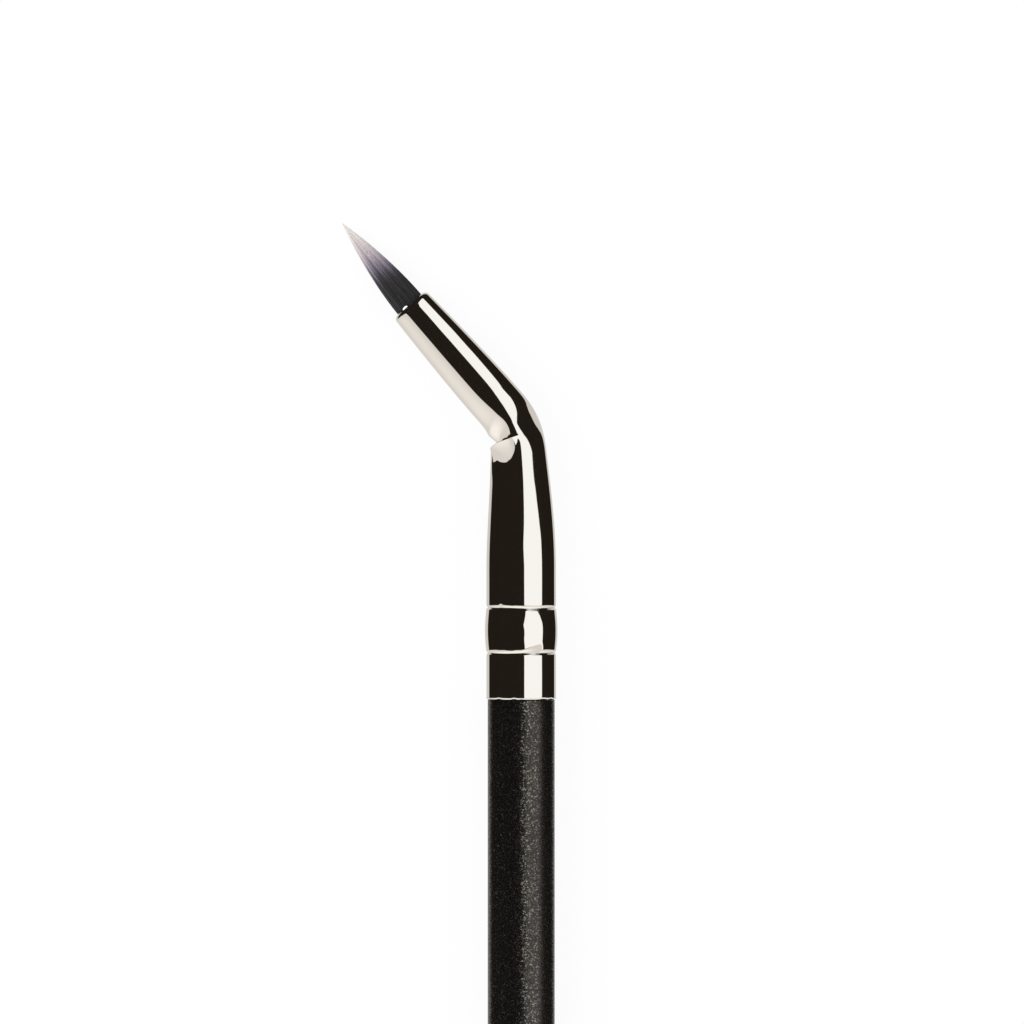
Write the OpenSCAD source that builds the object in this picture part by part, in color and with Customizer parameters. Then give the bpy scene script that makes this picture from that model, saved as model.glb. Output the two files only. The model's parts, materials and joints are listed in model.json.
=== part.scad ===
// Eyeliner brush with a turned handle, a crimped and bent ferrule and a pointed tuft.
// It lies on the surface z = 0 as it comes to rest: on the ferrule's bulge, on the end of
// the handle's straight stretch and on the rim of the mouth. The head points along +Y.

/* [Handle] */
// Diameter of the handle's straight stretch
handle_d = 6.7; // [5.6:0.1:6.8]
// Length of the straight stretch below the ferrule
handle_straight = 78; // [50:1:110]
// Length of the taper below the straight stretch
handle_taper = 42; // [20:1:60]
// Diameter at the end of the taper, where the rounding starts
handle_end_d = 4.6; // [3:0.1:5.2]
// Radius of the handle's edge under the ferrule
handle_edge = 0.15; // [0.05:0.05:0.15]
// Length of the tenon inside the ferrule
tenon_len = 13; // [11:0.5:16]
// Gap between the tenon and the ferrule's bore
tenon_gap = 0.05; // [0.03:0.01:0.1]

/* [Ferrule] */
// Outer diameter of the ferrule's straight base
ferrule_d = 6.95; // [6.9:0.05:7.6]
// Wall of the tube
ferrule_wall = 0.3; // [0.2:0.05:0.35]
// Length of the tube along its centreline
ferrule_len = 43; // [42:0.5:50]
// Radius of the curled lower edge
curl_r = 0.22; // [0.1:0.02:0.24]
// Height of the lower crimp groove above the lower edge
crimp_low = 4.6; // [3:0.1:5]
// Height of the upper crimp groove above the lower edge
crimp_high = 9.1; // [8:0.1:10]
// Depth of a crimp groove
crimp_depth = 0.13; // [0.05:0.01:0.2]
// Half width of a crimp groove
crimp_half = 0.2; // [0.15:0.05:0.3]
// Height of the bulge between the grooves
bulge = 0.15; // [0.05:0.05:0.3]
// Height at which the tube starts to narrow
neck_start = 13; // [11:0.5:15]
// Length over which the tube narrows to the head
neck_len = 17; // [12:0.5:18]

/* [Bend] */
// Angle between the handle and the head
bend_angle = 41.4; // [25:0.1:50]
// Share of the bend that the neck takes before the kink
lean_angle = 3.2; // [0:0.1:6]
// Centre of the bend along the tube
bend_at = 27.2; // [26:0.1:28]
// Length of the bend
bend_len = 5.8; // [5:0.1:8]
// Place of the kink's crease along the tube
kink_at = 26.3; // [25.5:0.1:27]
// Depth of the kink on the inside of the bend
kink_depth = 0.75; // [0.2:0.05:0.9]
// Length of the dent above the crease
kink_above = 1.7; // [1:0.1:2]
// Length of the dent below the crease
kink_below = 0.8; // [0.5:0.1:1.2]
// Angle that the kink wraps to each side of the bend's inner line
kink_wrap = 80; // [50:1:90]
// Height of the fold's lip below the crease
kink_lip = 0.1; // [0:0.01:0.2]

/* [Head] */
// Outer diameter of the head above the bend
head_d = 5.15; // [4.9:0.05:5.5]
// Outer diameter at the mouth, before its rim rolls in
mouth_d = 4.2; // [4:0.05:4.6]
// Length over which the head narrows to the mouth
head_taper = 8.8; // [6:0.1:9]
// Radius of the rim rolled in at the mouth
rim_r = 0.5; // [0.4:0.02:0.6]

/* [Tuft] */
// Length of the tuft outside the mouth
tuft_len = 11; // [8:0.1:14]
// Power of the curve of the tuft's profile
tuft_power = 1.75; // [1.4:0.05:2.2]
// Radius of the blunt tip
tuft_tip_r = 0.05; // [0.04:0.01:0.1]
// Angle by which the tuft leans back from the head's axis
tuft_lean = 1.6; // [0:0.1:3]
// Depth of the grooves between the clumps, as a share of the radius
clump_depth = 0.04; // [0.01:0.01:0.08]
// Number of clumps round the tuft
clumps = 9; // [6:3:12]
// Length of the root inside the ferrule
root_len = 8; // [5:0.5:8]
// Length of the glue behind the root
glue_len = 2.5; // [1:0.5:2.5]
// Gap between the ferrule and what it holds
root_gap = 0.03; // [0.02:0.01:0.06]

/* [Hidden] */

sides = 36;
handle_r = handle_d / 2;
handle_end_r = handle_end_d / 2;
ferrule_r = ferrule_d / 2;
bulge_r = ferrule_r + bulge;
head_r = head_d / 2;
mouth_r = mouth_d / 2;
bore_r = mouth_r - rim_r;
tenon_r = ferrule_r - ferrule_wall - tenon_gap;
tenon_chamfer = 0.4;
taper_steps = 14;
arc_steps = 6;
dome_share = 0.8;

function smooth(t) = let (u = min(max(t, 0), 1)) u * u * (3 - 2 * u);
function bump(t) = exp(-t * t);
function mix(a, b, t) = a + (b - a) * t;

// Lean of the tube's centreline at distance s from its lower edge
function lean_at(s) =
    lean_angle * smooth((s - neck_start) / (bend_at - neck_start))
    + (bend_angle - lean_angle) * smooth((s - bend_at) / bend_len + 0.5);

// Outer radius of the tube at s, without the curled edge and the rolled rim
function crimps(s) = crimp_depth
    * (bump((s - crimp_low) / crimp_half) + bump((s - crimp_high) / crimp_half));
function bulge_at(s) =
    s > crimp_low && s < crimp_high
        ? bulge * sin(180 * (s - crimp_low) / (crimp_high - crimp_low))
        : 0;
function outer_r(s) =
    mix(ferrule_r, head_r, smooth((s - neck_start) / neck_len))
    - (head_r - mouth_r) * min(max(1 - (ferrule_len - s) / head_taper, 0), 1)
    - crimps(s) + bulge_at(s);

// Inward push of the kink at s and at angle a round the tube, 180 on the bend's inner line
function kink_along(s) =
    s > kink_at
        ? 1 - smooth((s - kink_at) / kink_above)
        : 1 - smooth((kink_at - s) / kink_below);
function kink_round(a) =
    abs(a - 180) < kink_wrap ? pow(cos(90 * (a - 180) / kink_wrap), 2) : 0;
function kink_lip_along(s) = bump((kink_at - kink_below - s) / kink_below);
function kink_push(s, a) =
    (kink_depth * kink_along(s) - kink_lip * kink_lip_along(s)) * kink_round(a);

// Centreline: a fine walk along the tube, read between its steps
walk_step = 0.1;
walk_n = round(ferrule_len / walk_step);
walk = [for (i = 0, x = 0, y = 0; i <= walk_n;
    a = lean_at((i + 0.5) * ferrule_len / walk_n),
    x = x - sin(a) * ferrule_len / walk_n,
    y = y + cos(a) * ferrule_len / walk_n,
    i = i + 1) [x, y]];
function centre_at(s) =
    let (k = min(max(s / ferrule_len * walk_n, 0), walk_n),
        i = min(floor(k), walk_n - 1))
    mix(walk[i], walk[i + 1], k - i);

// Ring of points round the centreline at s, with radius r
function ring(s, r) =
    let (c = centre_at(s), lean = lean_at(s))
    [for (j = [0 : sides - 1])
        let (a = 360 * j / sides, w = r * cos(a) + kink_push(s, a))
        [c.x + w * cos(lean), c.y + w * sin(lean), r * sin(a)]];

// Faces between rings that follow one another
function bands(first, last) =
    [for (i = [first : last - 1], j = [0 : sides - 1])
        let (k = (j + 1) % sides)
        [i * sides + k, (i + 1) * sides + k, (i + 1) * sides + j, i * sides + j]];
function joined(lists) = [for (one = lists, item = one) item];

// Stations along the tube, closer together at the grooves and at the kink
function spaced(from, to, n) = [for (i = [0 : n - 1]) mix(from, to, i / n)];
groove_reach = 2.2 * crimp_half;
function groove(at) = spaced(at - groove_reach, at + groove_reach, 6);
curl_stations = [for (i = [0 : 3])
    let (a = 90 * i / 3)
    [curl_r * (1 - cos(a)), curl_r * (1 - sin(a))]];
wall_stations = concat(
    [(curl_r + crimp_low - groove_reach) / 2],
    groove(crimp_low),
    spaced(crimp_low + groove_reach, crimp_high - groove_reach, 7),
    groove(crimp_high),
    spaced(crimp_high + groove_reach, neck_start, 2),
    spaced(neck_start, kink_at - 2 * kink_below, 6),
    spaced(kink_at - 2 * kink_below, kink_at, 7),
    spaced(kink_at, kink_at + kink_above, 6),
    spaced(kink_at + kink_above, bend_at + bend_len / 2, 4),
    spaced(bend_at + bend_len / 2, ferrule_len - head_taper, 3),
    spaced(ferrule_len - head_taper, ferrule_len - rim_r, 4));
rim_depth = 1.6 * rim_r;
bore_stations = [for (s = wall_stations) if (s < ferrule_len - rim_depth - 0.2) s];

function curl_ring(st) =
    ring(st[0], outer_r(curl_r) - st[1]);
function rim_ring(a) =
    ring(ferrule_len - rim_r * (1 - sin(a)), mouth_r - rim_r * (1 - cos(a)));
function bore_ring(s) = ring(s, outer_r(s) - ferrule_wall);

ferrule_rings = concat(
    [for (st = curl_stations) curl_ring(st)],
    [for (s = wall_stations) ring(s, outer_r(s))],
    [for (i = [0 : 4]) rim_ring(90 * i / 4)],
    [ring(ferrule_len - rim_r, bore_r)],
    [bore_ring(ferrule_len - rim_depth)],
    [for (i = [len(bore_stations) - 1 : -1 : 0]) bore_ring(bore_stations[i])],
    [ring(0, outer_r(0) - ferrule_wall)]);

// Free part of the tuft, t from 0 at the mouth to 1 at the tip
tuft_axis = bend_angle - tuft_lean;
mouth_c = centre_at(ferrule_len);
tuft_r0 = bore_r - root_gap;
tuft_rings_n = 16;
function tuft_r(t) = max(tuft_r0 * (1 - pow(t, tuft_power)), tuft_tip_r);
function clump(a, t) = 1 - clump_depth * smooth(4 * t) * (1 + cos(clumps * a)) / 2;
function tuft_centre(t) =
    mouth_c + tuft_len * t * [-sin(tuft_axis), cos(tuft_axis)];
function tuft_ring(t) =
    let (c = tuft_centre(t), lean = mix(bend_angle, tuft_axis, smooth(4 * t)))
    [for (j = [0 : sides - 1])
        let (a = 360 * j / sides, r = tuft_r(t) * clump(a, t))
        [c.x + r * cos(a) * cos(lean), c.y + r * cos(a) * sin(lean), r * sin(a)]];
function held_ring(s) = ring(s, outer_r(s) - ferrule_wall - root_gap);
root_end = ferrule_len - root_len;
glue_end = root_end - glue_len;

// Rest: the height of the axis, its pitch along the handle and its roll toward the head
rest_y = (crimp_low + crimp_high) / 2;
rest_reach = handle_straight + rest_y;
pitch = asin((bulge_r - handle_r) / rest_reach);
axis_z = bulge_r * cos(pitch) - rest_y * sin(pitch);
rim_c = centre_at(ferrule_len - rim_r);
rim_drop = (axis_z + rim_c.y * sin(pitch)) / cos(pitch);
function rim_reach(a) = mouth_r * sqrt(1 - pow(sin(bend_angle) * sin(a), 2));
function settled(a, turns) =
    turns == 0 ? a : settled(asin((rim_drop - rim_reach(a)) / -rim_c.x), turns - 1);
roll = settled(0, 5);

// The origin is under the middle of the whole brush
tip_c = tuft_centre(1);
dome_len = handle_end_r * dome_share;
handle_len = handle_straight + handle_taper + dome_len;
mid_x = (bulge_r + tip_c.x * cos(roll) - tuft_tip_r) / 2;
mid_y = (tip_c.y + tuft_tip_r * sin(tuft_axis) - handle_len) / 2 * cos(pitch);

module at_rest() {
    translate([-mid_x, -mid_y, axis_z])
        rotate([pitch, 0, 0])
            rotate([0, -roll, 0])
                children();
}

module swept(rings, closed = false) {
    n = len(rings);
    points = joined(rings);
    walls = bands(0, n - 1);
    wrap = [for (j = [0 : sides - 1])
        let (k = (j + 1) % sides, e = (n - 1) * sides)
        [e + k, k, j, e + j]];
    caps = [
        [for (j = [sides - 1 : -1 : 0]) j],
        [for (j = [0 : sides - 1]) (n - 1) * sides + j]];
    polyhedron(points, concat(walls, closed ? wrap : caps));
}

// Outline of the handle from its axis, z along the brush and 0 at the ferrule's edge
function taper_point(t) =
    [mix(handle_r, handle_end_r, 1 - cos(90 * t)), -handle_straight - handle_taper * t];
function tenon_groove(at) = [
    [tenon_r, at - 2 * crimp_half],
    [tenon_r - crimp_depth, at],
    [tenon_r, at + 2 * crimp_half]];
handle_outline = concat(
    [[0, tenon_len], [tenon_r - tenon_chamfer, tenon_len], [tenon_r, tenon_len - tenon_chamfer]],
    [for (i = [2 : -1 : 0]) tenon_groove(crimp_high)[i]],
    [for (i = [2 : -1 : 0]) tenon_groove(crimp_low)[i]],
    [[tenon_r, 0]],
    [for (i = [0 : arc_steps])
        let (a = 90 * i / arc_steps)
        [handle_r - handle_edge * (1 - sin(a)), -handle_edge * (1 - cos(a))]],
    [for (i = [0 : taper_steps]) taper_point(i / taper_steps)],
    [for (i = [1 : arc_steps])
        let (a = 90 * i / arc_steps)
        [handle_end_r * cos(a), -handle_straight - handle_taper - dome_len * sin(a)]]);

module handle() {
    color("#1b1a19")
        at_rest()
            rotate([-90, 0, 0])
                rotate_extrude($fn = 96)
                    polygon(handle_outline);
}

module ferrule() {
    color("#b9b3ab")
        at_rest()
            swept(ferrule_rings, closed = true);
}

module tuft() {
    color("#8f8792")
        at_rest()
            swept(concat(
                [held_ring(root_end), held_ring(mix(root_end, ferrule_len - rim_depth, 0.5))],
                [held_ring(ferrule_len - rim_depth)],
                [ring(ferrule_len - rim_r, tuft_r0)],
                [for (i = [0 : tuft_rings_n]) tuft_ring(i / tuft_rings_n)]));
}

module root_glue() {
    color("#cfc6a8")
        at_rest()
            swept([for (i = [0 : 3]) held_ring(mix(glue_end, root_end, i / 3))]);
}

handle();
ferrule();
tuft();
root_glue();
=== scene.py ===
import json
import math

import bpy
import numpy as np
from mathutils import Matrix, Vector


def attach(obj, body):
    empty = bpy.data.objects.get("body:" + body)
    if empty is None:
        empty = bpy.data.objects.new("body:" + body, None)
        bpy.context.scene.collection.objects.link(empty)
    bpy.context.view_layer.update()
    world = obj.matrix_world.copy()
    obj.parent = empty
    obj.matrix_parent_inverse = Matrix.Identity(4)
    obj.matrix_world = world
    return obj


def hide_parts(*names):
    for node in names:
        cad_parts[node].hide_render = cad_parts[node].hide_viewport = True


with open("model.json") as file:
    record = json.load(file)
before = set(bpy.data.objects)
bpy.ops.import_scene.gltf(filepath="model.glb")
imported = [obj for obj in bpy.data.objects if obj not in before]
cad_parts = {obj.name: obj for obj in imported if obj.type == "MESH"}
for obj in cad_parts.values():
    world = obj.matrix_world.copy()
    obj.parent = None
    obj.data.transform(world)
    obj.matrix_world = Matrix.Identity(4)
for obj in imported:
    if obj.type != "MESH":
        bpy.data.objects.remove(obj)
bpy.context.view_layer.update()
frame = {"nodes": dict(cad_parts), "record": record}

MM = 0.001

# Ferrule, in millimetres along its centreline from the lower edge
FERRULE_R = 3.475
WALL = 0.3
FERRULE_LEN = 43.35
FERRULE_SIDES = 216
NECK_START = 13.0
NECK_LEN = 17.0
HEAD_R = 2.575
HEAD_TAPER = 12.3
HEAD_TAPER_POWER = 1.5
MOUTH_R = 2.1
RIM_R = 0.5
CURL_R = 0.16
BULGE = 0.15

# Crimp grooves, narrower on the side toward the lower edge, and how they wander as they
# go round: twice and five times, each from its own angle
CRIMPS = (4.6, 9.1)
CRIMP_DEPTH = 0.13
CRIMP_LOW_HALF = 0.09
CRIMP_HALF = 0.17
WANDER_TWICE = 0.03
WANDER_FIVE_TIMES = 0.015
WANDER_FROM = (0.4, 2.1)
WANDER_HALF = 0.9

# Small waves in the curled lower edge: place and half width in degrees round the tube
EDGE_WAVES = [(130, 5), (102, 4), (50, 8), (31, 5), (215, 6), (300, 9)]
EDGE_WAVE_HEIGHT = 0.07
EDGE_WAVE_REACH = 0.35

# Spots where the crimping pressed the wall in above a groove: its place, how far up it
# reaches, its depth, its middle, half width and soft edge in degrees round the tube, and
# the share of its reach that it loses toward the left
PRESSED = [(4.6, 1.15, 0.1, 72.0, 17.0, 6.0, 0.75), (9.1, 0.55, 0.08, 126.0, 3.5, 6.0, 0.0)]
PRESSED_START = 0.3

# Bend, in degrees and millimetres along the centreline
BEND_ANGLE = 41.4
LEAN_ANGLE = 3.2
BEND_AT = 27.2
BEND_LEN = 5.8

# Crease on the inside of the bend: how it rises as it goes round, counted in degrees from
# the bend's inner line, how deep it is, how far round it reaches and how far up it eases
CREASE_AT = 25.3
CREASE_RISE = 1.2
CREASE_RISE_BY = 45.0
CREASE_RISE_HALF = 4.5
CREASE_DEPTH = 0.75
CREASE_ROLL = 0.18
CREASE_ABOVE = 2.5
CREASE_ABOVE_MORE = 1.2
CREASE_WRAP = 88.0
CREASE_EASE = 58.0

# Lip below the crease, with a dip under it. It reaches down furthest at its middle
LIP_HEIGHT = 0.57
LIP_REACH = 2.35
LIP_MIDDLE = 62.0
LIP_HALF = 28.0
LIP_LESS_INSIDE = 0.25
LIP_LESS_OUTSIDE = 0.67
LIP_WRAP = 97.0
LIP_EASE = 24.0
LIP_INNER_START = 4.0
LIP_INNER_EASE = 30.0
DIP_DEPTH = 0.27
DIP_REACH = 2.6

# Ridge above the crease on either side, which turns toward the inside as it climbs
RIDGE_HEIGHT = 0.15
RIDGE_ABOVE_CREASE = 1.3
RIDGE_FROM = 88.0
RIDGE_TURN = 2.8
RIDGE_HALF = 17.0
RIDGE_MIDDLE = 1.2
RIDGE_LEN = 3.2

# Tuft: its root reaches into the ferrule. A plain core carries the outer filaments, which
# end at different lengths, lie at different depths, wander a little and thin at the tip
TUFT_LEN = 10.65
TUFT_POWER = 1.75
TUFT_LEAN = 1.6
TUFT_GAP = 0.03
TUFT_R = MOUTH_R - RIM_R - TUFT_GAP
CORE_SIDES = 48
CORE_ROOT = 0.74
CORE_END = 0.97
CORE_SHARE = 0.86
CORE_WAVES = [(9, 0.02), (23, 0.015)]
STRANDS = 760
STRAND_R = 0.055
STRAND_POINTS = 15
STRAND_SEED = 7
STRAND_SHORTEST = 0.8
STRAND_DEEPEST = 0.82
STRAND_WANDER = 0.05
STRAND_WANDER_RATE = 5.0
STRAND_THINNING = 0.75
STRAND_THINNING_POWER = 4.0

# White speck on the rim of the mouth, a painted highlight for a glint on the rim: degrees
# round it, half its length, width and height, how far out from the rim's inner edge it lies,
# and its smallest ring in radians
GLINT_AT = 111.0
GLINT_SIZE = (0.33, 0.15, 0.09)
GLINT_OUT = 0.06
GLINT_POLE = 0.08

# Handle, and its tenon inside the ferrule, grooved where the ferrule is crimped on
HANDLE_R = 3.35
HANDLE_STRAIGHT = 78.0
HANDLE_TAPER = 42.0
HANDLE_END_R = 2.3
HANDLE_EDGE = 0.15
HANDLE_DOME = 0.8
HANDLE_SIDES = 160
TENON_R = 3.125
TENON_LEN = 13.0
TENON_EDGE = 0.4
GROOVE_HALF = 0.4

# Radius of the smallest ring, where a round piece closes on its axis
POLE_R = 0.02

# View: the photograph is 102.4 mm across and is centred on this point of the brush
VIEW_WIDTH = 102.4
VIEW_CENTRE = (-0.92, 18.7)
VIEW_DISTANCE = 1000.0
SENSOR = 36.0

# Dye of the filaments: shares of the length with their colours as seen on screen. The dye
# shifts from filament to filament. Painted light lifts the tone at the tuft's two sides, a
# little more so on the right
DYE = [(0.0, (40, 39, 41)), (0.33, (50, 48, 50)), (0.41, (80, 77, 86)),
       (0.49, (124, 117, 131)), (0.57, (156, 147, 157)), (0.66, (190, 180, 183)),
       (0.78, (212, 202, 201)), (0.95, (229, 224, 218))]
# Painted light: how far the pale tones move toward the root at the tuft's sides and right
PAINTED_LIGHT_AT_SIDES = 0.05
PAINTED_LIGHT_AT_RIGHT = 0.005
DYE_UNEVEN = 0.07
FILAMENT_SHADES = (0.84, 1.1)

# Metallic flakes in the lacquer: few are bright, the rest are dull, and each is tilted
FLAKES_PER_METRE = 9000.0
FLAKE_RARITY = 6.0
FLAKE_GLEAM = 0.5
FLAKE_DULL = 0.06
FLAKE_TILT = 0.18
FLAKE_SHARE = 0.6
FLAKE_WARM = (1.0, 0.86, 0.66, 1.0)
FLAKE_COOL = (0.96, 0.97, 0.92, 1.0)

# What the metal mirrors. Directions are seen in the brush's axes: x to the right, y to the
# head, z to the camera. The softbox stands on the right. Its two edges and the edge of the
# white paper behind the brush are given as degrees round the view, counted from the right
# toward the head, and degrees off the view
BOX_NEAR_EDGE = [(-180, 170), (-64, 170), (-52, 40), (-40, 13), (-20, 11.2), (0, 10), (14, 9),
                 (28, 8.5), (36, 13), (40, 20), (45, 24), (51, 28), (57, 38), (63, 62),
                 (76, 170), (180, 170)]
BOX_FAR_EDGE = [(-180, 4), (-75, 60), (-20, 72), (0, 73), (8, 66), (12, 57), (17, 48),
                (23, 38), (29, 34), (34, 42), (38, 53), (41, 62), (43, 69), (45, 76),
                (47, 82), (60, 82), (90, 60), (130, 30), (180, 4)]
BOX_LOW_END = -0.26
PAPER_EDGE = [(-180, 134), (-90, 134), (-10, 144), (8, 143), (18, 118), (27, 103), (34, 112),
              (41, 134), (60, 136), (120, 134), (180, 134)]
PAPER_LEVEL = 0.64
BOX_SOFTNESS = 0.005
BOX_END_SOFTNESS = 0.015
PAPER_SOFTNESS = 0.008

# White cards below the brush and low in front of it. The upper edge of each drops by a
# share of how far the direction points to the camera. On the side card it does so only past
# a limit, and directions that point further to the camera than its front miss that card
LOW_CARD_TOP = -0.2
LOW_CARD_DROP = 0.38
FRONT_CARD_TOP = -0.24
FRONT_CARD_DROP = 0.36
SIDE_CARD_FRONT = 0.72
SIDE_CARD_DROP = 0.82
SIDE_CARD_DROP_FROM = 0.5
CARD_SOFTNESS = 0.02

# The cards brighten downward, from one height and level to the other
CARD_HEIGHTS = (-0.45, -0.95)
CARD_LEVELS = (0.71, 1.1)

# Tint of the cards and the paper, tone of the dark walls, and the even light that surfaces
# other than metal receive
CARD_TINT = (1.0, 0.965, 0.92, 1.0)
DARK_WALL = (0.0145, 0.0112, 0.0082, 1.0)
MATT_LIGHT = (0.95, 0.95, 0.95, 1.0)
WHITE = (1.0, 1.0, 1.0, 1.0)

# Lamp over the brush: its place, where it points, its width and its power in watts
KEY_PLACE = (-260, -20, 400)
KEY_TARGET = (0, 20, 0)
KEY_WIDTH = 400.0
KEY_POWER = 1.0

# Floor, and how much of it the camera sees as plain white
FLOOR_HALF = 1500.0
FLOOR_GREY = (0.9, 0.9, 0.9, 1.0)
FLOOR_WHITE = 0.92


def brush_axes():
    """Matrix from the brush's own axes to the model: x away from the bend, y to the head."""
    shank = next(m for m in frame["record"]["mounts"] if m["name"] == "handle_shank")
    on_axis = Vector(shank["pos_m"])
    along = -Vector(shank["axis"]).normalized()
    tip = min((v.co for v in frame["nodes"]["tuft"].data.vertices), key=lambda co: co.x)
    side = on_axis - tip
    side = (side - along * side.dot(along)).normalized()
    front = side.cross(along)
    rows = (v.co for v in frame["nodes"]["ferrule"].data.vertices)
    low_edge = min((co - on_axis).dot(along) for co in rows)
    axes = Matrix((side, along, front)).transposed().to_4x4()
    axes.translation = on_axis + along * low_edge
    return axes


AXES = brush_axes()


def smooth(t):
    t = np.clip(t, 0.0, 1.0)
    return t * t * (3 - 2 * t)


def bump(t):
    return np.exp(-t * t)


# Meshes

def mesh_piece(name, points, faces, material):
    """A smooth piece from points in the brush's axes, in millimetres."""
    mesh = bpy.data.meshes.new(name)
    mesh.from_pydata(np.asarray(points) * MM, [], faces)
    mesh.transform(AXES)
    mesh.polygons.foreach_set("use_smooth", [True] * len(mesh.polygons))
    mesh.materials.append(material)
    mesh.update()
    piece = bpy.data.objects.new(name, mesh)
    bpy.context.scene.collection.objects.link(piece)
    return piece


def ring_faces(rings, sides, closed):
    """Quads between rings of points. Closed joins the last ring to the first, or else
    each end gets a flat face."""
    faces = []
    for i in range(rings if closed else rings - 1):
        a, b = i * sides, (i + 1) % rings * sides
        for j in range(sides):
            k = (j + 1) % sides
            faces.append((a + j, b + j, b + k, a + k))
    if not closed:
        faces.append(tuple(range(sides)))
        faces.append(tuple(range(rings * sides - 1, (rings - 1) * sides - 1, -1)))
    return faces


# Ferrule

def lean_at(s):
    neck = smooth((s - NECK_START) / (BEND_AT - NECK_START))
    turn = smooth((s - BEND_AT) / BEND_LEN + 0.5)
    return np.radians(LEAN_ANGLE * neck + (BEND_ANGLE - LEAN_ANGLE) * turn)


def centreline():
    s = np.linspace(0, FERRULE_LEN, 4301)
    step = s[1] - s[0]
    lean = lean_at(s[:-1] + step / 2)
    x = np.concatenate([[0], np.cumsum(-np.sin(lean) * step)])
    y = np.concatenate([[0], np.cumsum(np.cos(lean) * step)])
    return s, x, y


LINE_S, LINE_X, LINE_Y = centreline()


def centre_at(s):
    return np.interp(s, LINE_S, LINE_X), np.interp(s, LINE_S, LINE_Y)


def tube_r(s):
    """Outer radius without the crimps, the kink, the curled edge and the rolled rim."""
    neck = smooth((s - NECK_START) / NECK_LEN)
    mouth = np.clip(1 - (FERRULE_LEN - s) / HEAD_TAPER, 0, 1) ** HEAD_TAPER_POWER
    return FERRULE_R + (HEAD_R - FERRULE_R) * neck - (HEAD_R - MOUTH_R) * mouth


def crimp_shape(s, a):
    """Bulge between the grooves, less the grooves and the pressed spots."""
    low, high = CRIMPS
    between = np.clip((s - low) / (high - low), 0, 1)
    shape = BULGE * np.sin(np.pi * between)
    for at in CRIMPS:
        half = np.where(s < at, CRIMP_LOW_HALF, CRIMP_HALF)
        shape = shape - CRIMP_DEPTH * bump((s - at) / half)
    around = np.degrees(a)
    for at, reach, depth, centre, half, edge, slant in PRESSED:
        side = smooth((half + edge / 2 - np.abs(around - centre)) / edge)
        left = np.clip((around - centre + half) / (2 * half), 0, 1)
        far = (s - at) / (reach * (1 - slant * left))
        shape -= depth * side * smooth((s - at) / PRESSED_START) * (1 - smooth(far))
    return shape


def away_from_inside(a):
    """Degrees round the tube, counted from the line on the inside of the bend."""
    return np.abs(np.degrees(a) - 180)


def drift(s, a):
    """How far the lower edge, the grooves and the crease wander along the tube."""
    rise = CREASE_RISE * (1 - bump(away_from_inside(a) / CREASE_RISE_BY))
    moved = rise * bump((s - CREASE_AT) / CREASE_RISE_HALF)
    for at, start in zip(CRIMPS, WANDER_FROM):
        wander = WANDER_TWICE * np.sin(2 * a + start)
        wander = wander + WANDER_FIVE_TIMES * np.sin(5 * a + 2 * start)
        moved = moved + wander * bump((s - at) / WANDER_HALF)
    for at, half in EDGE_WAVES:
        wave = EDGE_WAVE_HEIGHT * bump((np.degrees(a) - at) / half)
        moved = moved + wave * bump(s / EDGE_WAVE_REACH)
    return moved


def crease_shape(x, away):
    """The crease, deepest at x = 0 on the inside of the bend."""
    round_in = smooth((CREASE_WRAP - away) / CREASE_EASE)
    above = 1 - smooth(x / (CREASE_ABOVE + CREASE_ABOVE_MORE * away / 90))
    below = 1 - smooth(-x / CREASE_ROLL)
    return -CREASE_DEPTH * np.where(x > 0, above, below) * round_in


def lip_shape(x, away):
    """The lip, which rises toward the crease, and the dip under it."""
    off_middle = np.clip((away - LIP_MIDDLE) / LIP_HALF, -1, 1)
    less = np.where(off_middle > 0, LIP_LESS_OUTSIDE, LIP_LESS_INSIDE)
    reach = LIP_REACH * (1 - less * off_middle ** 2)
    climb = np.clip((x + reach) / (reach - CREASE_ROLL), 0, 1)
    lip = LIP_HEIGHT * climb * smooth(-x / CREASE_ROLL)
    dip = DIP_DEPTH * (1 - climb) * (1 - smooth((-reach - x) / DIP_REACH))
    round_out = smooth((LIP_WRAP - away) / LIP_EASE)
    round_in = smooth((away - LIP_INNER_START) / LIP_INNER_EASE)
    return (lip - dip) * round_out * round_in * reach / LIP_REACH


def ridge_shape(x, away):
    up = x - RIDGE_ABOVE_CREASE
    around = bump((away - RIDGE_FROM + RIDGE_TURN * up) / RIDGE_HALF)
    return RIDGE_HEIGHT * around * bump((up - RIDGE_MIDDLE) / RIDGE_LEN)


def kink_shape(s, a):
    """Push of the kink along the tube's own radius."""
    x = s - CREASE_AT
    away = away_from_inside(a)
    return crease_shape(x, away) + lip_shape(x, away) + ridge_shape(x, away)


def ferrule_rings(s, a, inset):
    """Points of the tube for stations s and angles a, inset from the outer wall."""
    s, a = np.meshgrid(s, a, indexing="ij")
    r = crimp_shape(s, a) + kink_shape(s, a) - inset[:, None]
    s = s + drift(s, a)
    r = r + tube_r(s)
    x, y = centre_at(s)
    lean = lean_at(s)
    out, front = r * np.cos(a), r * np.sin(a)
    return np.stack([x + out * np.cos(lean), y + out * np.sin(lean), front], axis=-1)


def fine_stations():
    """Stations along the wall, closest at the grooves and at the kink."""
    # Each span: where it starts, where it ends and how many stations it holds
    spans = [(CURL_R, 3.9, 14), (3.9, 5.3, 34), (5.3, 8.4, 26), (8.4, 9.8, 34),
             (9.8, NECK_START, 12), (NECK_START, 22.4, 38), (22.4, 24.7, 40),
             (24.7, 27.9, 90), (27.9, 31.0, 36), (31.0, 34.2, 14),
             (34.2, FERRULE_LEN - RIM_R, 24)]
    return np.concatenate([np.linspace(low, high, count, endpoint=False)
                           for low, high, count in spans])


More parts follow.
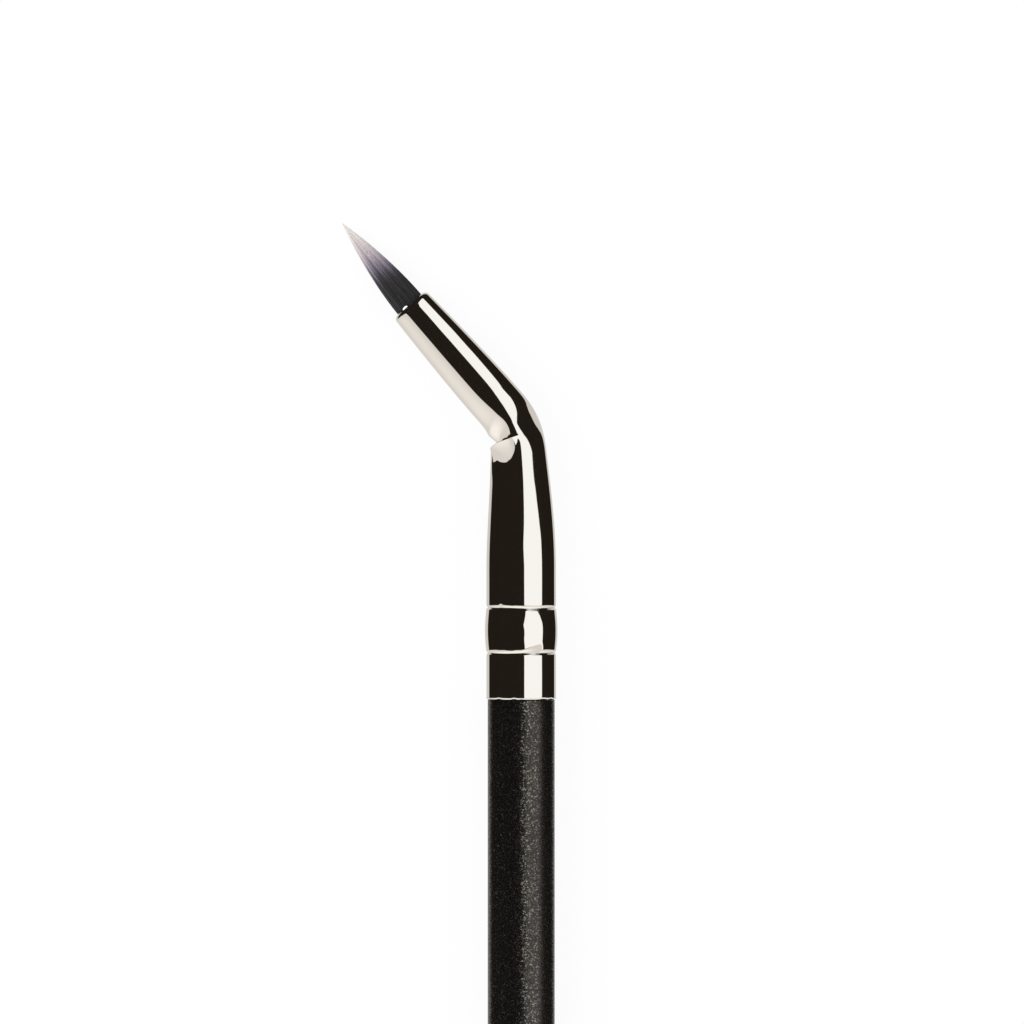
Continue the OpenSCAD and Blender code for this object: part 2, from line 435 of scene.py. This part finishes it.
def ferrule(material):
    a = np.linspace(0, 2 * np.pi, FERRULE_SIDES, endpoint=False)
    curl = np.radians(np.linspace(0, 90, 7, endpoint=False))
    rim = np.radians(np.linspace(0, 90, 13))
    outer = fine_stations()
    # The rolled rim ends here on the inside, and the coarser inner wall begins below it
    rim_end = FERRULE_LEN - 1.6 * RIM_R
    inner = outer[::12][::-1]
    inner = inner[inner < rim_end - 0.2]
    rings = [
        (CURL_R * (1 - np.sin(curl)), CURL_R * (1 - np.cos(np.pi / 2 - curl))),
        (outer, np.zeros_like(outer)),
        (FERRULE_LEN - RIM_R * (1 - np.sin(rim)), RIM_R * (1 - np.cos(rim))),
        (np.array([FERRULE_LEN - RIM_R]), np.array([RIM_R])),
        (np.array([rim_end]), np.array([WALL])),
        (inner, np.full_like(inner, WALL)),
        (np.array([0.0]), np.array([WALL])),
    ]
    points = np.concatenate([ferrule_rings(s, a, inset) for s, inset in rings])
    faces = ring_faces(len(points), FERRULE_SIDES, closed=True)
    piece = mesh_piece("ferrule_tube", points.reshape(-1, 3), faces, material)
    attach(piece, "root")
    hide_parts("ferrule")


# Handle

def tenon_outline():
    """Radius and place along the brush, from the tenon's end to the shoulder."""
    rows = [(POLE_R, TENON_LEN), (TENON_R - TENON_EDGE, TENON_LEN),
            (TENON_R, TENON_LEN - TENON_EDGE)]
    for at in reversed(CRIMPS):
        rows += [(TENON_R, at + GROOVE_HALF), (TENON_R - CRIMP_DEPTH, at),
                 (TENON_R, at - GROOVE_HALF)]
    return rows + [(TENON_R, 0.0)]


def handle_outline():
    """Radius and place along the brush, from the shoulder to the round end."""
    edge = np.radians(np.linspace(0, 90, 7))
    taper = np.linspace(0, 1, 24)
    dome = np.radians(np.linspace(0, 90, 14))[1:-1]
    end = -HANDLE_STRAIGHT - HANDLE_TAPER
    dome_height = HANDLE_DOME * HANDLE_END_R
    rows = [(HANDLE_R - HANDLE_EDGE * (1 - math.sin(t)), -HANDLE_EDGE * (1 - math.cos(t)))
            for t in edge]
    rows += [(HANDLE_R, y) for y in np.linspace(-1, -HANDLE_STRAIGHT + 2, 40)]
    rows += [(HANDLE_R + (HANDLE_END_R - HANDLE_R) * (1 - math.cos(math.pi / 2 * t)),
              -HANDLE_STRAIGHT - HANDLE_TAPER * t) for t in taper]
    rows += [(HANDLE_END_R * math.cos(t), end - dome_height * math.sin(t)) for t in dome]
    return rows + [(POLE_R, end - dome_height)]


def handle(material):
    a = np.linspace(0, 2 * np.pi, HANDLE_SIDES, endpoint=False)
    outline = tenon_outline() + handle_outline()
    rings = [np.stack([r * np.cos(a), np.full_like(a, y), r * np.sin(a)], axis=-1)
             for r, y in reversed(outline)]
    faces = ring_faces(len(rings), HANDLE_SIDES, closed=False)
    piece = mesh_piece("handle_wood", np.concatenate(rings), faces, material)
    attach(piece, "root")
    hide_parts("handle")


# Node trees

def add(tree, kind, inputs=(), **settings):
    """A node with its settings, and its inputs linked or set by index or name."""
    node = tree.nodes.new(kind)
    for key, value in settings.items():
        setattr(node, key, value)
    for key, value in dict(inputs).items():
        if isinstance(value, bpy.types.NodeSocket):
            tree.links.new(value, node.inputs[key])
        else:
            node.inputs[key].default_value = value
    return node


def calc(tree, operation, *values):
    kind = "ShaderNodeMath"
    return add(tree, kind, enumerate(values), operation=operation).outputs[0]


def step(tree, value, at, half):
    """0 below at, 1 above it, with a soft edge of twice half. A negative half turns it
    round."""
    node = add(tree, "ShaderNodeMapRange", {0: value, 1: at - half, 2: at + half},
               interpolation_type="SMOOTHSTEP")
    return node.outputs[0]


def spread(tree, value, low, high):
    """A value from 0 to 1, spread from low to high."""
    return add(tree, "ShaderNodeMapRange", {0: value, 3: low, 4: high}).outputs[0]


def blend(tree, share, first, second):
    """A colour from first, at share 0, to second, at share 1."""
    node = add(tree, "ShaderNodeMix", {0: share, 6: first, 7: second}, data_type="RGBA")
    return node.outputs[2]


def scaled(tree, vector, share):
    node = add(tree, "ShaderNodeVectorMath", {0: vector, 3: share}, operation="SCALE")
    return node.outputs[0]


def carried(tree, name):
    """The value that a mesh carries under this name."""
    return add(tree, "ShaderNodeAttribute", attribute_name=name).outputs["Fac"]


def own_place(tree):
    return add(tree, "ShaderNodeTexCoord").outputs["Object"]


def edge_curve(tree, value, points):
    """A curve through points, given as degrees round the view and degrees off it."""
    node = add(tree, "ShaderNodeFloatCurve", {1: value})
    line = node.mapping.curves[0].points
    while len(line) < len(points):
        line.new(0.5, 0.5)
    for point, (turn, off) in zip(line, points):
        point.location = (turn / 360 + 0.5, off / 180)
        point.handle_type = "AUTO_CLAMPED"
    node.mapping.update()
    return node.outputs[0]


# Tuft

def point_value(tree, name):
    """The value stored on each point of the strands under this name."""
    node = add(tree, "GeometryNodeInputNamedAttribute", {"Name": name}, data_type="FLOAT")
    return node.outputs[0]


def store(tree, geometry, name, value):
    node = add(tree, "GeometryNodeStoreNamedAttribute",
               {"Geometry": geometry, "Name": name, "Value": value},
               data_type="FLOAT", domain="POINT")
    return node.outputs[0]


def strand_tree(material):
    """Filaments that leave the mouth as a round bundle and meet in a point."""
    tree = bpy.data.node_groups.new("tuft_strands", "GeometryNodeTree")
    face = tree.interface
    face.new_socket("Geometry", in_out="OUTPUT", socket_type="NodeSocketGeometry")
    sizes = {"Strands": "NodeSocketInt", "Length": "NodeSocketFloat",
             "Mouth Radius": "NodeSocketFloat", "Power": "NodeSocketFloat",
             "Strand Radius": "NodeSocketFloat", "Seed": "NodeSocketInt"}
    for name, kind in sizes.items():
        face.new_socket(name, in_out="INPUT", socket_type=kind)
    given = tree.nodes.new("NodeGroupInput").outputs

    def chance(draw, low, high, number):
        """A random value for each strand, from low to high."""
        seed = calc(tree, "ADD", given["Seed"], float(draw))
        node = add(tree, "FunctionNodeRandomValue", {2: low, 3: high, 7: number, 8: seed},
                   data_type="FLOAT")
        return node.outputs[1]

    # One straight line for each strand, all in one place and numbered
    dots = add(tree, "GeometryNodeMeshLine", {0: given["Strands"], 3: (0.0, 0.0, 0.0)})
    index = add(tree, "GeometryNodeInputIndex").outputs[0]
    marked = store(tree, dots.outputs[0], "number", index)
    line = add(tree, "GeometryNodeCurvePrimitiveLine",
               {"Start": (0.0, 0.0, 0.0), "End": (0.0, 0.0, 1.0)})
    fine = add(tree, "GeometryNodeResampleCurve",
               {"Curve": line.outputs[0], "Count": STRAND_POINTS})
    placed = add(tree, "GeometryNodeInstanceOnPoints",
                 {"Points": marked, "Instance": fine.outputs[0]})
    real = add(tree, "GeometryNodeRealizeInstances", {0: placed.outputs[0]})

    # How far along the tuft each point lies, and how far round it
    number = point_value(tree, "number")
    position = add(tree, "GeometryNodeInputPosition").outputs[0]
    t = add(tree, "ShaderNodeSeparateXYZ", {0: position}).outputs[2]
    along = calc(tree, "MULTIPLY", t, chance(1, STRAND_SHORTEST, 1.0, number))
    phase = calc(tree, "MULTIPLY_ADD", along, STRAND_WANDER_RATE,
                 chance(2, 0.0, 6.28, number))
    wander = calc(tree, "MULTIPLY", calc(tree, "SINE", phase), STRAND_WANDER)
    golden_angle = math.pi * (3 - math.sqrt(5))
    turn = calc(tree, "ADD", calc(tree, "MULTIPLY", number, golden_angle), wander)

    # Where each point lies
    left = calc(tree, "SUBTRACT", 1.0, calc(tree, "POWER", along, given["Power"]))
    depth = chance(3, STRAND_DEEPEST, 1.0, number)
    radius = calc(tree, "MULTIPLY", calc(tree, "MULTIPLY", left, depth), given["Mouth Radius"])
    x = calc(tree, "MULTIPLY", radius, calc(tree, "COSINE", turn))
    y = calc(tree, "MULTIPLY", radius, calc(tree, "SINE", turn))
    z = calc(tree, "MULTIPLY", along, given["Length"])
    spot = add(tree, "ShaderNodeCombineXYZ", {0: x, 1: y, 2: z}).outputs[0]

    # What the material reads, and how thick each strand still is
    worn = calc(tree, "MULTIPLY", calc(tree, "POWER", t, STRAND_THINNING_POWER),
                STRAND_THINNING)
    strands = store(tree, real.outputs[0], "along", along)
    strands = store(tree, strands, "strand", chance(4, 0.0, 1.0, number))
    strands = store(tree, strands, "side", calc(tree, "COSINE", turn))
    strands = store(tree, strands, "thin", calc(tree, "SUBTRACT", 1.0, worn))

    laid = add(tree, "GeometryNodeSetPosition", {"Geometry": strands, "Position": spot})
    outline = add(tree, "GeometryNodeCurvePrimitiveCircle",
                  {"Resolution": 4, "Radius": given["Strand Radius"]})
    tubes = add(tree, "GeometryNodeCurveToMesh",
                {"Curve": laid.outputs[0], "Profile Curve": outline.outputs[0],
                 "Scale": point_value(tree, "thin"), "Fill Caps": True})
    rounded = add(tree, "GeometryNodeSetShadeSmooth", {"Geometry": tubes.outputs[0]})
    whole = add(tree, "GeometryNodeRealizeInstances", {0: rounded.outputs[0]})
    dressed = add(tree, "GeometryNodeSetMaterial",
                  {"Geometry": whole.outputs[0], "Material": material})
    out = tree.nodes.new("NodeGroupOutput")
    tree.links.new(dressed.outputs[0], out.inputs[0])
    return tree


def tuft_place():
    """From the tuft's own axes, z to its tip, to the model."""
    x, y = centre_at(FERRULE_LEN)
    lean = math.radians(BEND_ANGLE - TUFT_LEAN)
    tip_way = Vector((-math.sin(lean), math.cos(lean), 0))
    side_way = Vector((math.cos(lean), math.sin(lean), 0))
    turn = Matrix((side_way, tip_way.cross(side_way), tip_way)).transposed().to_4x4()
    turn.translation = Vector((float(x), float(y), 0)) * MM
    return AXES @ turn


def settle(piece):
    """Keep the piece as its modifiers leave it, as a plain mesh."""
    graph = bpy.context.evaluated_depsgraph_get()
    mesh = bpy.data.meshes.new_from_object(piece.evaluated_get(graph), depsgraph=graph)
    piece.modifiers.clear()
    piece.data = mesh


def tuft_strands(material):
    piece = bpy.data.objects.new("tuft_strands", bpy.data.meshes.new("tuft_strands"))
    bpy.context.scene.collection.objects.link(piece)
    modifier = piece.modifiers.new("strands", "NODES")
    tree = strand_tree(material)
    modifier.node_group = tree
    sizes = {"Strands": STRANDS, "Length": TUFT_LEN * MM, "Power": TUFT_POWER,
             "Mouth Radius": (TUFT_R - STRAND_R) * MM, "Strand Radius": STRAND_R * MM,
             "Seed": STRAND_SEED}
    for item in tree.interface.items_tree:
        if item.in_out == "INPUT":
            modifier[item.identifier] = sizes[item.name]
    settle(piece)
    piece.data.transform(tuft_place())
    return piece


def tuft_core(material):
    """The close inner filaments, as one pointed body under the outer ones."""
    a = np.linspace(0, 2 * np.pi, CORE_SIDES, endpoint=False)
    wave = 1 + sum(height * np.sin(count * a) for count, height in CORE_WAVES)
    reach = np.concatenate([np.linspace(-CORE_ROOT, -0.05, 8), np.linspace(0, CORE_END, 40)])
    rings = []
    for t in reach:
        r = TUFT_R if t < 0 else CORE_SHARE * TUFT_R * (1 - t ** TUFT_POWER)
        rings.append(np.stack([r * wave * np.cos(a), r * wave * np.sin(a),
                               np.full_like(a, t * TUFT_LEN)], axis=-1))
    mesh = bpy.data.meshes.new("tuft_core")
    faces = ring_faces(len(rings), CORE_SIDES, closed=False)
    mesh.from_pydata(np.concatenate(rings) * MM, [], [face[::-1] for face in faces])
    # The same values as the filaments carry, for the material they share
    carries = {"along": np.repeat(np.maximum(reach, 0), CORE_SIDES),
               "strand": np.tile(0.5 + 0.4 * np.sin(17 * a), len(rings)),
               "side": np.tile(np.cos(a), len(rings))}
    for name, values in carries.items():
        mesh.attributes.new(name, "FLOAT", "POINT").data.foreach_set("value", values)
    mesh.polygons.foreach_set("use_smooth", [True] * len(mesh.polygons))
    mesh.materials.append(material)
    mesh.transform(tuft_place())
    piece = bpy.data.objects.new("tuft_core", mesh)
    bpy.context.scene.collection.objects.link(piece)
    return piece


def tuft(material):
    for piece in (tuft_strands(material), tuft_core(material)):
        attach(piece, "root")
        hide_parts("tuft")


def painted_glint_speck(material):
    """A white speck where the tuft leaves the rim, as a painted highlight of a glint on the
    rim.
    """
    sides, rows = 20, 12
    a = np.linspace(0, 2 * np.pi, sides, endpoint=False)
    long, wide, high = GLINT_SIZE
    rings = [np.stack([long * np.sin(t) * np.cos(a), wide * np.sin(t) * np.sin(a),
                       np.full_like(a, -high * np.cos(t))], axis=-1)
             for t in np.linspace(GLINT_POLE, math.pi - GLINT_POLE, rows)]
    x, y = centre_at(FERRULE_LEN)
    lean, turn = math.radians(BEND_ANGLE), math.radians(GLINT_AT)
    side_way = np.array([math.cos(lean), math.sin(lean), 0.0])
    tip_way = np.array([-math.sin(lean), math.cos(lean), 0.0])
    front = np.array([0.0, 0.0, 1.0])
    out = math.cos(turn) * side_way + math.sin(turn) * front
    along = math.sin(turn) * side_way - math.cos(turn) * front
    middle = np.array([float(x), float(y), 0.0]) + (MOUTH_R - RIM_R + GLINT_OUT) * out
    points = middle + np.concatenate(rings) @ np.array([along, tip_way, out])
    faces = [face[::-1] for face in ring_faces(rows, sides, closed=False)]
    piece = mesh_piece("painted_glint_speck", points, faces, material)
    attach(piece, "root")


# Materials

def new_material(name):
    material = bpy.data.materials.new(name)
    material.use_nodes = True
    material.node_tree.nodes.clear()
    return material, material.node_tree


def finish_material(tree, shader):
    out = tree.nodes.new("ShaderNodeOutputMaterial")
    tree.links.new(shader, out.inputs["Surface"])


def linear(r, g, b):
    """A colour as seen on screen, 0 to 255, in the renderer's own values."""
    parts = [c / 255 for c in (r, g, b)]
    return tuple(c / 12.92 if c < 0.04045 else ((c + 0.055) / 1.055) ** 2.4
                 for c in parts) + (1.0,)


def nickel_plate():
    """Polished nickel plate with the faint unevenness of a thin drawn tube."""
    material, tree = new_material("nickel_plate")
    place = own_place(tree)
    haze = add(tree, "ShaderNodeTexNoise", {"Vector": place, "Scale": 700.0, "Detail": 3.0})
    wave = add(tree, "ShaderNodeTexNoise", {"Vector": place, "Scale": 260.0, "Detail": 1.0})
    uneven = add(tree, "ShaderNodeBump", {"Height": wave.outputs[0], "Strength": 0.25,
                                          "Distance": 0.00004})
    plate = add(tree, "ShaderNodeBsdfPrincipled", {
        "Base Color": (0.93, 0.895, 0.85, 1), "Metallic": 1.0,
        "Roughness": spread(tree, haze.outputs[0], 0.015, 0.05),
        "Normal": uneven.outputs[0]})
    finish_material(tree, plate.outputs[0])
    return material


def speckled_lacquer():
    """Black lacquer with fine metallic specks that catch the light one by one."""
    material, tree = new_material("speckled_lacquer")
    place = own_place(tree)
    specks = add(tree, "ShaderNodeTexVoronoi", {"Vector": place, "Scale": FLAKES_PER_METRE})
    tones = add(tree, "ShaderNodeSeparateColor", {0: specks.outputs["Color"]}).outputs
    gleam = calc(tree, "MULTIPLY_ADD", calc(tree, "POWER", tones[0], FLAKE_RARITY),
                 FLAKE_GLEAM, FLAKE_DULL)
    tint = blend(tree, tones[1], FLAKE_WARM, FLAKE_COOL)
    centred = add(tree, "ShaderNodeVectorMath",
                  {0: specks.outputs["Color"], 1: (0.5, 0.5, 0.5)}, operation="SUBTRACT")
    tilt = scaled(tree, centred.outputs[0], FLAKE_TILT)
    normal = add(tree, "ShaderNodeNewGeometry").outputs["Normal"]
    leaning = add(tree, "ShaderNodeVectorMath", {0: normal, 1: tilt}, operation="ADD")
    leaning = add(tree, "ShaderNodeVectorMath", {0: leaning.outputs[0]},
                  operation="NORMALIZE")
    flake = add(tree, "ShaderNodeBsdfPrincipled", {
        "Base Color": scaled(tree, tint, gleam), "Metallic": 1.0, "Roughness": 0.25,
        "Normal": leaning.outputs[0]})
    ground = add(tree, "ShaderNodeBsdfPrincipled", {
        "Base Color": linear(11, 11, 10), "Roughness": 0.36, "Specular IOR Level": 0.5})
    mixed = add(tree, "ShaderNodeMixShader",
                {0: FLAKE_SHARE, 1: ground.outputs[0], 2: flake.outputs[0]})
    finish_material(tree, mixed.outputs[0])
    return material


def dyed_filament():
    """Filaments dyed black at the root, over grey, to off-white at the tip."""
    material, tree = new_material("dyed_filament")
    along = carried(tree, "along")
    strand = carried(tree, "strand")
    side = carried(tree, "side")
    # Painted light: the tone is lifted at the tuft's two sides, a little more on the right
    painted_side_light = calc(tree, "MULTIPLY_ADD", side, PAINTED_LIGHT_AT_SIDES, PAINTED_LIGHT_AT_RIGHT)
    painted_side_light = calc(tree, "MULTIPLY", side, painted_side_light)
    uneven = spread(tree, strand, -DYE_UNEVEN, DYE_UNEVEN)
    dyed = calc(tree, "ADD", along, calc(tree, "ADD", painted_side_light, uneven))
    ramp = add(tree, "ShaderNodeValToRGB", {0: dyed})
    tones = ramp.color_ramp.elements
    while len(tones) < len(DYE):
        tones.new(0.5)
    for tone, (at, colour) in zip(tones, DYE):
        tone.position = at
        tone.color = linear(*colour)
    shade = spread(tree, strand, *FILAMENT_SHADES)
    filament = add(tree, "ShaderNodeBsdfPrincipled", {
        "Base Color": scaled(tree, ramp.outputs[0], shade), "Roughness": 0.5,
        "Specular IOR Level": 0.35})
    finish_material(tree, filament.outputs[0])
    return material


def resin_and_painted_glint(name, thin, thick):
    """Hard resin with a faint cloud in it, between its thin and its thick tone. The white one
    is the painted highlight of the speck on the rim.
    """
    material, tree = new_material(name)
    place = own_place(tree)
    cloud = add(tree, "ShaderNodeTexNoise", {"Vector": place, "Scale": 900.0})
    tone = blend(tree, cloud.outputs[0], linear(*thick), linear(*thin))
    resin = add(tree, "ShaderNodeBsdfPrincipled", {"Base Color": tone, "Roughness": 0.25})
    finish_material(tree, resin.outputs[0])
    return material


# Studio

def softbox(tree, azimuth, off_view, height):
    """1 where the metal sees the tall softbox on the right."""
    near_edge = edge_curve(tree, azimuth, BOX_NEAR_EDGE)
    far_edge = edge_curve(tree, azimuth, BOX_FAR_EDGE)
    past_near = step(tree, calc(tree, "SUBTRACT", off_view, near_edge), 0.0, BOX_SOFTNESS)
    short_of_far = step(tree, calc(tree, "SUBTRACT", far_edge, off_view), 0.0, BOX_SOFTNESS)
    across = calc(tree, "MULTIPLY", past_near, short_of_far)
    return calc(tree, "MULTIPLY", across, step(tree, height, BOX_LOW_END, BOX_END_SOFTNESS))


def below_edge(tree, height, forward, drop, top):
    """1 below an edge at the height top, which drops by a share of forward."""
    return step(tree, calc(tree, "MULTIPLY_ADD", forward, drop, height), top, -CARD_SOFTNESS)


def white_cards(tree, right, height, front):
    """1 where the metal sees a card below the brush or low in front of it."""
    forward = calc(tree, "MAXIMUM", front, 0.0)
    low_card = below_edge(tree, height, forward, LOW_CARD_DROP, LOW_CARD_TOP)
    right_part = step(tree, calc(tree, "SUBTRACT", right, height), 0.0, CARD_SOFTNESS)
    front_card = calc(tree, "MULTIPLY", right_part,
                      below_edge(tree, height, forward, FRONT_CARD_DROP, 0.0))
    beyond = calc(tree, "SUBTRACT", front, SIDE_CARD_DROP_FROM)
    beyond = calc(tree, "MAXIMUM", beyond, 0.0)
    side_card = calc(tree, "MULTIPLY",
                     step(tree, front, SIDE_CARD_FRONT, -CARD_SOFTNESS),
                     below_edge(tree, height, beyond, SIDE_CARD_DROP, FRONT_CARD_TOP))
    in_front = calc(tree, "MAXIMUM", front_card, side_card)
    in_front = calc(tree, "MULTIPLY", in_front,
                    step(tree, height, FRONT_CARD_TOP, -CARD_SOFTNESS))
    return calc(tree, "MAXIMUM", low_card, in_front)


def mirrored_room(tree):
    """The photographer's room as the metal mirrors it, placed in the brush's own axes."""
    way = add(tree, "ShaderNodeTexCoord").outputs["Generated"]
    turned = add(tree, "ShaderNodeMapping", {
        "Vector": way, "Rotation": AXES.to_3x3().transposed().to_euler()})
    right, height, front = add(tree, "ShaderNodeSeparateXYZ", {0: turned.outputs[0]}).outputs
    azimuth = calc(tree, "ARCTAN2", height, right)
    azimuth = calc(tree, "MULTIPLY_ADD", azimuth, 0.5 / math.pi, 0.5)
    off_view = calc(tree, "MULTIPLY", calc(tree, "ARCCOSINE", front), 1 / math.pi)
    box = softbox(tree, azimuth, off_view, height)
    paper_edge = edge_curve(tree, azimuth, PAPER_EDGE)
    paper = step(tree, calc(tree, "SUBTRACT", off_view, paper_edge), 0.0, PAPER_SOFTNESS)
    levels = dict(enumerate((height, *CARD_HEIGHTS, *CARD_LEVELS)))
    card_level = add(tree, "ShaderNodeMapRange", levels).outputs[0]
    cards = calc(tree, "MULTIPLY", white_cards(tree, right, height, front), card_level)
    level = calc(tree, "MAXIMUM", cards, calc(tree, "MULTIPLY", paper, PAPER_LEVEL))
    level = calc(tree, "MAXIMUM", level, box)
    return blend(tree, level, DARK_WALL, blend(tree, box, CARD_TINT, WHITE))


def studio_light():
    """White behind the view, the room for the metal, and an even light for the rest."""
    world = bpy.data.worlds.new("studio")
    bpy.context.scene.world = world
    world.use_nodes = True
    tree = world.node_tree
    tree.nodes.clear()
    rays = add(tree, "ShaderNodeLightPath").outputs
    seen = blend(tree, rays["Is Glossy Ray"], MATT_LIGHT, mirrored_room(tree))
    seen = blend(tree, rays["Is Camera Ray"], seen, WHITE)
    sky = add(tree, "ShaderNodeBackground", {"Color": seen, "Strength": 1.0})
    out = tree.nodes.new("ShaderNodeOutputWorld")
    tree.links.new(sky.outputs[0], out.inputs["Surface"])


def key_lamp():
    """An area lamp over the brush that shapes the matt surfaces."""
    lamp = bpy.data.lights.new("key_lamp", "AREA")
    lamp.shape = "DISK"
    lamp.size = KEY_WIDTH * MM
    lamp.energy = KEY_POWER
    piece = bpy.data.objects.new("key_lamp", lamp)
    spot = AXES @ (Vector(KEY_PLACE) * MM)
    target = AXES @ (Vector(KEY_TARGET) * MM)
    piece.location = spot
    piece.rotation_euler = (spot - target).to_track_quat("Z", "Y").to_euler()
    piece.visible_camera = False
    piece.visible_glossy = False
    bpy.context.scene.collection.objects.link(piece)


def floor():
    """A plain white floor that keeps a faint shadow."""
    half = FLOOR_HALF * MM
    corners = [(-half, -half, 0), (half, -half, 0), (half, half, 0), (-half, half, 0)]
    mesh = bpy.data.meshes.new("floor")
    mesh.from_pydata(corners, [], [(0, 1, 2, 3)])
    material, tree = new_material("floor_paper")
    rays = add(tree, "ShaderNodeLightPath").outputs
    paper = add(tree, "ShaderNodeBsdfDiffuse", {"Color": FLOOR_GREY})
    white = add(tree, "ShaderNodeEmission", {"Color": WHITE, "Strength": 1.0})
    share = calc(tree, "MULTIPLY", rays["Is Camera Ray"], FLOOR_WHITE)
    mixed = add(tree, "ShaderNodeMixShader",
                {0: share, 1: paper.outputs[0], 2: white.outputs[0]})
    finish_material(tree, mixed.outputs[0])
    mesh.materials.append(material)
    piece = bpy.data.objects.new("floor", mesh)
    bpy.context.scene.collection.objects.link(piece)
    piece.visible_glossy = False


def camera():
    """Looks straight at the plane of the bend, as the photograph does."""
    eye = bpy.data.cameras.new("camera")
    eye.sensor_width = SENSOR
    eye.lens = SENSOR * VIEW_DISTANCE / VIEW_WIDTH
    eye.clip_start = 0.01
    eye.clip_end = 10
    piece = bpy.data.objects.new("camera", eye)
    place = Matrix.Translation(Vector((*VIEW_CENTRE, VIEW_DISTANCE)) * MM)
    piece.matrix_world = AXES @ place
    bpy.context.scene.collection.objects.link(piece)
    bpy.context.scene.camera = piece


camera()
studio_light()
key_lamp()
floor()
bpy.context.scene.view_settings.view_transform = "Standard"

ferrule(nickel_plate())
handle(speckled_lacquer())
tuft(dyed_filament())
glue = frame["nodes"]["root_glue"].data
glue.materials.clear()
glue.materials.append(resin_and_painted_glint("amber_resin", (222, 210, 176), (196, 178, 132)))
# Painted highlight: the white speck stands for a glint on the rim
painted_glint_speck(resin_and_painted_glint("painted_glint_white", (252, 252, 250), (246, 246, 244)))
